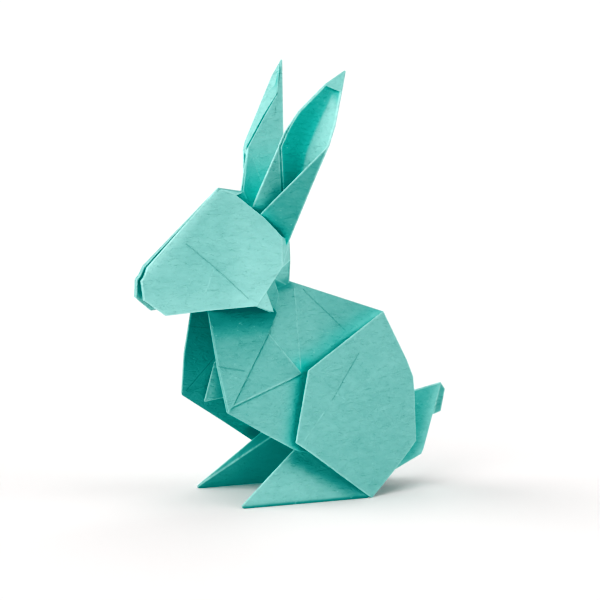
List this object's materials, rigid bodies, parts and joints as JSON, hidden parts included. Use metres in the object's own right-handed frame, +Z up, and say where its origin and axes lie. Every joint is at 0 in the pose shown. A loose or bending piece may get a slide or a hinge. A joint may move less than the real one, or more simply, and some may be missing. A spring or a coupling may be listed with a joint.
{
  "type": "origami rabbit",
  "caption": "Origami rabbit folded from one square of turquoise paper, standing on its two pointed feet.",
  "frame": {"origin": "centre of the bounding box, on the surface that the feet stand on", "axes": "+Z up, -X the way the rabbit faces, -Y towards the rabbit's left side"},
  "size_m": [0.0744, 0.041, 0.0955],
  "materials": {
    "turquoise_paper": "matte, fibrous"
  },
  "bodies": {
    "root": {"origami_rabbit": "turquoise_paper"}
  },
  "joints": []
}
